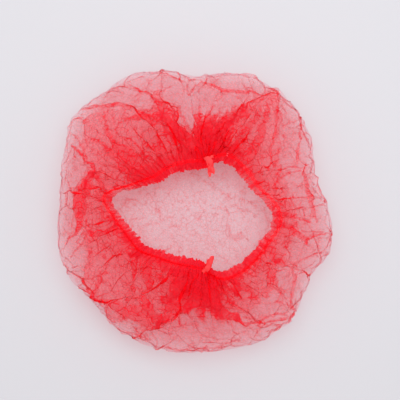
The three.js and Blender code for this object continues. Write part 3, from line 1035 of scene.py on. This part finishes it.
class Graph:
    """A short way to write a material's nodes."""

    def __init__(self, name: str) -> None:
        """Starts an empty material.

        Args:
            name: the material's name.
        """
        self.material = bpy.data.materials.new(name)
        self.material.use_nodes = True
        self.nodes = self.material.node_tree.nodes
        self.nodes.clear()

    def add(self, kind: str, settings: dict | None = None, **inputs: object) -> bpy.types.Node:
        """Adds a node.

        Args:
            kind: the node's type, without ShaderNode.
            settings: properties of the node.
            inputs: a value or an output socket for each named input, with _ for a space.

        Returns:
            The node.
        """
        node = self.nodes.new("ShaderNode" + kind)
        for key, value in (settings or {}).items():
            setattr(node, key, value)
        for key, value in inputs.items():
            self.feed(node.inputs[key.replace("_", " ")], value)
        return node

    def feed(self, socket: bpy.types.NodeSocket, value: object) -> None:
        """Links an output to a socket, or sets the socket's value.

        Args:
            socket: the input socket.
            value: an output socket or a plain value.
        """
        if isinstance(value, bpy.types.NodeSocket):
            self.material.node_tree.links.new(value, socket)
        else:
            socket.default_value = value

    def math(self, operation: str, *values: object) -> bpy.types.NodeSocket:
        """Adds a math node.

        Args:
            operation: what it works out.
            values: its inputs, each a value or an output socket.

        Returns:
            Its result.
        """
        node = self.add("Math", {"operation": operation})
        for socket, value in zip(node.inputs, values):
            self.feed(socket, value)
        return node.outputs[0]

    def spread(
        self, value: object, low: float, high: float, to_low: float, to_high: float
    ) -> bpy.types.NodeSocket:
        """Maps one range on to another and clamps what lies outside.

        Args:
            value: a value or an output socket.
            low: the range's start, which becomes to_low.
            high: the range's end, which becomes to_high.
            to_low: the result at low.
            to_high: the result at high.

        Returns:
            The result.
        """
        node = self.add("MapRange", Value=value)
        node.inputs["From Min"].default_value = low
        node.inputs["From Max"].default_value = high
        node.inputs["To Min"].default_value = to_low
        node.inputs["To Max"].default_value = to_high
        return node.outputs[0]

    def mixed(
        self, share: object, first: bpy.types.NodeSocket, second: bpy.types.NodeSocket
    ) -> bpy.types.NodeSocket:
        """Mixes two shaders.

        Args:
            share: the second one's share, a value or an output socket.
            first: the first shader.
            second: the second shader.

        Returns:
            The mixed shader.
        """
        node = self.add("MixShader")
        self.feed(node.inputs[0], share)
        self.feed(node.inputs[1], first)
        self.feed(node.inputs[2], second)
        return node.outputs[0]

    def finish(self, surface: bpy.types.NodeSocket) -> bpy.types.Material:
        """Links the surface to the material's output.

        Args:
            surface: the finished shader.

        Returns:
            The material.
        """
        self.add("OutputMaterial", Surface=surface)
        return self.material


@dataclass(frozen=True)
class NonWoven:
    """Thin red spunbond fabric that lets light and what lies behind it through between its fibres."""

    colour: tuple[float, float, float, float] = (1, 0.01, 0.026, 1)
    tint: tuple[float, float, float, float] = (1, 0.955, 0.965, 1)
    film: tuple[float, float, float, float] = (1, 0.06, 0.1, 1)
    film_share: float = 0.58
    layer_cover: float = 0.15
    clump: float = 520
    fibre: float = 1300
    # Painted shade: the darker red that the crinkle lines' colour is pulled towards, standing in for the
    # self-shadow in their folds.
    shaded: tuple[float, float, float, float] = (0.6, 0.004, 0.012, 1)
    mottled_layers: float = 1.5
    net: tuple[float, float, float, float] = (0.36, 0.64, 0.3, 1.8)
    fine: tuple[float, float, float, float] = (0.32, 0.68, 0.45, 1.6)
    crinkles: tuple[Crinkle, ...] = (
        Crinkle(42, 0.026, 2.0),
        Crinkle(95, 0.036, 1.5),
        Crinkle(210, 0.08, 2.2),
    )
    patch: tuple[float, float] = (0.44, 0.56)
    patch_size: float = 0.75
    bend_scale: float = 60.0
    bend: float = 0.006
    relief: float = 0.4
    relief_depth: float = 0.0008
    # How strongly the crinkle lines' painted shade darkens the fabric's colour.
    crinkle_shade: float = 0.1
    flat_share: float = 0.2

    def material(self) -> bpy.types.Material:
        """Makes the fabric's material.

        Returns:
            The material.
        """
        graph = Graph("spunbond_red")
        place = graph.add("Attribute", {"attribute_name": "flat_place"}).outputs["Vector"]
        cover = graph.add("Attribute", {"attribute_name": "cover"}).outputs["Fac"]
        clumps = graph.add("TexNoise", Vector=place, Scale=self.clump, Detail=4.0, Roughness=0.65)
        fibres = graph.add("TexNoise", Vector=place, Scale=self.fibre, Detail=2.0, Roughness=0.6)
        net = graph.spread(clumps.outputs[0], *self.net)
        fine = graph.spread(fibres.outputs[0], *self.fine)
        mottle = graph.math("SUBTRACT", graph.math("MULTIPLY", net, fine), 1.0)
        mottle = graph.math("MULTIPLY", mottle, graph.math("MINIMUM", cover, self.mottled_layers))
        lines = self.crinkled(graph)
        folded = graph.math("MAXIMUM", graph.math("SUBTRACT", cover, self.flat_share), 0.0)
        layers = graph.math("ADD", graph.math("ADD", cover, mottle), graph.math("MULTIPLY", lines, folded))
        clear = graph.math("POWER", 1 - self.layer_cover, graph.math("MAXIMUM", layers, 0.0))
        solid = graph.math("SUBTRACT", 1.0, clear)
        height = graph.math("ADD", lines, net)
        relief = graph.add("Bump", Height=height, Strength=self.relief, Distance=self.relief_depth)
        # Painted shade: the fine crinkle lines pull the fabric's colour towards the darker shaded red,
        # standing in for the self-shadow in their folds.
        painted_crease_shade = graph.add("Mix", {"data_type": "RGBA"})
        graph.feed(painted_crease_shade.inputs[0], graph.math("MULTIPLY", lines, self.crinkle_shade))
        graph.feed(painted_crease_shade.inputs[6], self.colour)
        graph.feed(painted_crease_shade.inputs[7], self.shaded)
        front = graph.add("BsdfDiffuse", Color=painted_crease_shade.outputs[2], Normal=relief.outputs[0])
        through = graph.add("BsdfTranslucent", Color=painted_crease_shade.outputs[2], Normal=relief.outputs[0])
        cloth = graph.mixed(0.5, front.outputs[0], through.outputs[0])
        dyed = graph.add("BsdfTransparent", Color=self.film)
        open_air = graph.add("BsdfTransparent", Color=self.tint)
        fibre = graph.mixed(self.film_share, cloth, dyed.outputs[0])
        return graph.finish(graph.mixed(solid, open_air.outputs[0], fibre))

    def crinkled(self, graph: Graph) -> bpy.types.NodeSocket:
        """The fine crinkle lines.

        Args:
            graph: the material's nodes.

        Returns:
            How strong the lines are at each place.
        """
        place = graph.add("Attribute", {"attribute_name": "smooth_place"}).outputs["Vector"]
        wander = graph.add("TexNoise", Vector=place, Scale=self.bend_scale, Detail=1.0)
        bent = graph.add("VectorMath", {"operation": "MULTIPLY_ADD"})
        graph.feed(bent.inputs[0], wander.outputs["Color"])
        graph.feed(bent.inputs[1], (self.bend, self.bend, self.bend))
        graph.feed(bent.inputs[2], place)
        total = 0.0
        for crinkle in self.crinkles:
            cells = graph.add("TexVoronoi", {"feature": "DISTANCE_TO_EDGE"}, Vector=bent.outputs[0])
            graph.feed(cells.inputs["Scale"], crinkle.scale)
            patches = graph.add("TexNoise", Vector=place, Scale=self.patch_size * crinkle.scale, Detail=1.0)
            line = graph.spread(cells.outputs["Distance"], 0.0, crinkle.width, 1.0, 0.0)
            shown = graph.spread(patches.outputs[0], *self.patch, 0.0, crinkle.strength)
            total = graph.math("ADD", total, graph.math("MULTIPLY", line, shown))
        return total


@dataclass(frozen=True)
class CoveredThread:
    """Rubber thread wound with pale fibre, which shows pink through the fabric's own."""

    colour: tuple[float, float, float, float] = (0.9, 0.08, 0.11, 1)
    winding: float = 2600

    def material(self) -> bpy.types.Material:
        """Makes the thread's material.

        Returns:
            The material.
        """
        graph = Graph("covered_thread")
        place = graph.add("TexCoord").outputs["Object"]
        wound = graph.add("TexWave", {"bands_direction": "DIAGONAL"}, Vector=place, Scale=self.winding)
        relief = graph.add("Bump", Height=wound.outputs["Color"], Strength=0.3, Distance=0.0001)
        surface = graph.add("BsdfPrincipled", Normal=relief.outputs[0], Roughness=0.9)
        surface.inputs["Specular IOR Level"].default_value = 0.1
        surface.inputs["Base Color"].default_value = self.colour
        return graph.finish(surface.outputs[0])


@dataclass(frozen=True)
class FusedFabric:
    """Layers of the fabric welded together, dense and slightly glossy."""

    colour: tuple[float, float, float, float] = (0.72, 0.006, 0.012, 1)
    grain: float = 1500

    def material(self) -> bpy.types.Material:
        """Makes the weld's material.

        Returns:
            The material.
        """
        graph = Graph("fused_fabric")
        place = graph.add("TexCoord").outputs["Object"]
        grain = graph.add("TexNoise", Vector=place, Scale=self.grain, Detail=3.0)
        relief = graph.add("Bump", Height=grain.outputs[0], Strength=0.5, Distance=0.0002)
        front = graph.add("BsdfPrincipled", Normal=relief.outputs[0], Roughness=0.5)
        front.inputs["Base Color"].default_value = self.colour
        through = graph.add("BsdfTranslucent", Color=self.colour)
        return graph.finish(graph.mixed(0.4, front.outputs[0], through.outputs[0]))


class MeshPile:
    """Collects tubes and strips into one mesh."""

    def __init__(self) -> None:
        """Starts empty."""
        self.points: list[tuple[float, float, float]] = []
        self.faces: list[tuple[int, ...]] = []

    def grid(self, rows: np.ndarray, closed: bool) -> None:
        """Adds rows of points joined by quads.

        Args:
            rows: the points, shape (rows, columns, 3).
            closed: whether each row's end joins its start.
        """
        start, (count, width) = len(self.points), rows.shape[:2]
        self.points += [tuple(point) for point in rows.reshape(-1, 3)]
        for row in range(count - 1):
            for column in range(width if closed else width - 1):
                after = (column + 1) % width
                here, there = start + row * width, start + (row + 1) * width
                self.faces.append((here + column, here + after, there + after, there + column))

    def tube(self, path: np.ndarray, radius: float, sides: int = 6) -> None:
        """Adds a tube along a path.

        Args:
            path: its points, shape (n, 3).
            radius: its radius.
            sides: how many sides it has.
        """
        ahead = np.gradient(path, axis=0)
        ahead /= np.linalg.norm(ahead, axis=1, keepdims=True)
        side = np.cross(ahead, [0, 0, 1.0])
        side /= np.maximum(np.linalg.norm(side, axis=1, keepdims=True), 1e-9)
        up = np.cross(side, ahead)
        turn = np.arange(sides) * FULL_TURN / sides
        rows = path[:, None] + radius * (
            side[:, None] * np.cos(turn)[None, :, None] + up[:, None] * np.sin(turn)[None, :, None]
        )
        self.grid(rows, closed=True)

    def object(self, name: str) -> bpy.types.Object:
        """Makes the collected mesh an object.

        Args:
            name: the object's name.

        Returns:
            The object, linked to the scene.
        """
        mesh = bpy.data.meshes.new(name)
        mesh.from_pydata(self.points, [], self.faces)
        mesh.polygons.foreach_set("use_smooth", [True] * len(mesh.polygons))
        mesh.update()
        made = bpy.data.objects.new(name, mesh)
        bpy.context.scene.collection.objects.link(made)
        return made


@dataclass
class ElasticBand:
    """One side's elastic: two threads with a zigzag of stitches between them."""

    plan: CapPlan
    node: str
    start: Weld
    end: Weld
    thread: float = 0.0004
    stitch: float = 0.00012
    half_gap: float = 0.0011
    height: float = 0.0470
    ripple: float = 0.0005
    ripple_rise: float = 0.6
    ripples: int = 42
    steps: int = 420
    end_gap: float = math.radians(1.6)

    def rail(self, across: float, count: int, lift: float) -> np.ndarray:
        """A line along the band.

        Args:
            across: how far it lies off the band's middle, away from the mouth.
            count: how many points it has.
            lift: how far above the band's middle it lies.

        Returns:
            The points, shape (count, 3).
        """
        first = math.radians(self.start.azimuth) + self.end_gap
        sweep = math.radians((self.end.azimuth - self.start.azimuth) % 360) - 2 * self.end_gap
        share = np.linspace(0, 1, count)
        azimuth = first + sweep * share
        reach = self.plan.mouth(azimuth) + self.plan.frill + across
        reach = reach + self.ripple * np.sin(share * self.ripples * FULL_TURN)
        height = self.height + lift + self.ripple_rise * self.ripple * np.cos(share * self.ripples * FULL_TURN)
        x = np.cos(azimuth) * reach + self.plan.shift[0]
        y = np.sin(azimuth) * reach + self.plan.shift[1]
        return np.stack([x, y, height], axis=1)

    def build(self) -> bpy.types.Object:
        """Makes the band.

        Returns:
            The band's object.
        """
        pile = MeshPile()
        pile.tube(self.rail(-self.half_gap, self.steps, 0), self.thread)
        pile.tube(self.rail(self.half_gap, self.steps, 0), self.thread)
        stitches = self.rail(0, 4 * self.ripples + 1, self.thread)
        aside = self.rail(self.half_gap, 4 * self.ripples + 1, self.thread) - stitches
        way = np.where(np.arange(len(stitches)) % 2 == 0, 1.0, -1.0)
        pile.tube(stitches + aside * way[:, None], self.stitch, sides=4)
        return pile.object("band_" + self.node)


@dataclass
class WeldTab:
    """The fused end of the pleats: a short stack of folded strips with ragged ends."""

    plan: CapPlan
    weld: Weld
    layers: int = 7
    length: float = 0.014
    overlap: float = 0.004
    width: float = 0.003
    root_width: float = 0.009
    spread: float = math.radians(16)
    base: float = 0.0482
    step: float = 0.0004
    rows: int = 9
    seed: int = 90
    least_length: float = 0.15
    length_spread: float = 0.6
    tip: float = 0.55
    ridge: float = 0.0006
    curl: float = 0.0012

    def strip(self, number: int) -> np.ndarray:
        """One folded strip, running in from the elastic to over the mouth.

        Args:
            number: which strip, from the bottom.

        Returns:
            Its points, shape (rows, 5, 3).
        """
        lattice = Noise.lattice(np.array([[number, k, int(self.weld.azimuth)] for k in range(4)]), self.seed)
        azimuth = math.radians(self.weld.azimuth)
        reach = float(self.plan.mouth(np.array([azimuth]))[0]) + self.plan.frill + self.overlap
        root = np.array([math.cos(azimuth), math.sin(azimuth)]) * reach + self.plan.shift
        turn = azimuth + math.pi + math.radians(self.weld.lean) + self.spread * (lattice[0] - 0.5)
        ahead = np.array([math.cos(turn), math.sin(turn)])
        side = np.array([-ahead[1], ahead[0]])
        length = self.overlap + self.plan.frill
        length += self.length * (self.least_length + self.length_spread * lattice[1])
        share = np.linspace(0, 1, self.rows)
        taper = self.width + (self.root_width - self.width) * (1 - share) ** 2
        half = taper / 2 * (0.75 + 0.5 * np.abs(np.sin(9 * share + 6 * lattice[2])))
        half[-1] *= self.tip
        across = np.array([-1, -0.55, 0, 0.55, 1])
        ridge = np.array([0, 0.8, 0.1, 0.9, 0]) * self.ridge
        flat = root + ahead * (share * length)[:, None]
        flat = flat[:, None] + side * (half[:, None] * across + 0.001 * (lattice[3] - 0.5))[..., None]
        height = self.base + number * self.step + ridge * (1 - 0.5 * share[:, None])
        height = height + self.curl * np.sin(share * 5 + number)[:, None] * share[:, None]
        return np.concatenate([flat, height[..., None]], axis=2)

    def build(self) -> bpy.types.Object:
        """Makes the tab.

        Returns:
            The tab's object.
        """
        pile = MeshPile()
        for number in range(self.layers):
            pile.grid(self.strip(number), closed=False)
        return pile.object("tab_" + self.weld.node)


@dataclass
class Studio:
    """The pale table, the soft lights and the camera over the cap."""

    frame_width: float = 0.424
    camera_height: float = 1.15
    aim: tuple[float, float, float] = (0.0069, 0.0122, 0.045)
    sensor: float = 36
    table_half: float = 3.0
    table_colour: tuple[float, float, float, float] = (0.382, 0.378, 0.398, 1)
    table_roughness: float = 0.8
    room_colour: tuple[float, float, float, float] = (1, 0.99, 1, 1)
    room_light: float = 1.17
    softbox_size: tuple[float, float] = (1.2, 0.9)
    softbox_energy: float = 20.4
    softbox_place: tuple[float, float, float] = (0.05, 0.35, 1.4)

    def build(self) -> None:
        """Makes the table, the lights and the camera."""
        self.table()
        self.lights()
        self.camera()

    def table(self) -> None:
        """Makes the table top."""
        half = self.table_half
        mesh = bpy.data.meshes.new("table")
        corners = [(-half, -half, 0), (half, -half, 0), (half, half, 0), (-half, half, 0)]
        mesh.from_pydata(corners, [], [(0, 1, 2, 3)])
        table = bpy.data.objects.new("table", mesh)
        bpy.context.scene.collection.objects.link(table)
        paint = bpy.data.materials.new("table_paint")
        paint.use_nodes = True
        surface = paint.node_tree.nodes["Principled BSDF"]
        surface.inputs["Base Color"].default_value = self.table_colour
        surface.inputs["Roughness"].default_value = self.table_roughness
        mesh.materials.append(paint)

    def lights(self) -> None:
        """Makes the room's light and the softbox."""
        world = bpy.data.worlds.new("studio")
        world.use_nodes = True
        world.node_tree.nodes["Background"].inputs[0].default_value = self.room_colour
        world.node_tree.nodes["Background"].inputs[1].default_value = self.room_light
        bpy.context.scene.world = world
        lamp = bpy.data.lights.new("softbox", "AREA")
        lamp.shape = "RECTANGLE"
        lamp.size, lamp.size_y = self.softbox_size
        lamp.energy = self.softbox_energy
        box = bpy.data.objects.new("softbox", lamp)
        box.location = self.softbox_place
        bpy.context.scene.collection.objects.link(box)
        aim = -box.location.normalized()
        box.rotation_mode = "QUATERNION"
        box.rotation_quaternion = aim.to_track_quat("-Z", "Y")

    def camera(self) -> None:
        """Makes the camera, which looks straight down."""
        lens = bpy.data.cameras.new("camera")
        lens.sensor_width = self.sensor
        lens.lens = self.sensor * self.camera_height / self.frame_width
        camera = bpy.data.objects.new("camera", lens)
        camera.location = (self.aim[0], self.aim[1], self.camera_height + self.aim[2])
        bpy.context.scene.collection.objects.link(camera)
        bpy.context.scene.camera = camera
        bpy.context.scene.view_settings.view_transform = "Standard"


def dress(piece: bpy.types.Object, node: str, material: bpy.types.Material) -> None:
    """Gives a piece its material and ties it to the frame.

    Args:
        piece: the finished object.
        node: the node that it stands for.
        material: its material.
    """
    piece.data.materials.append(material)
    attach(piece, BODY)
    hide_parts(node)
    LOG.info("%s replaces %s with %d faces", piece.name, node, len(piece.data.polygons))


def main() -> None:
    """Builds the cap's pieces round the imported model."""
    logging.basicConfig(level=logging.INFO, format="%(message)s", stream=sys.stdout)
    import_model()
    Studio().build()
    plan = CapPlan()
    sheet = CapSheet(plan).build()
    dress(sheet, "cap_sheet", NonWoven().material())
    back, front = WELDS
    thread = CoveredThread().material()
    for node, start, end in (("elastic_left", back, front), ("elastic_right", front, back)):
        band = ElasticBand(plan, node, start, end).build()
        dress(band, node, thread)
    fused = FusedFabric().material()
    for weld in WELDS:
        tab = WeldTab(plan, weld).build()
        dress(tab, weld.node, fused)


if __name__ == "__main__":
    main()
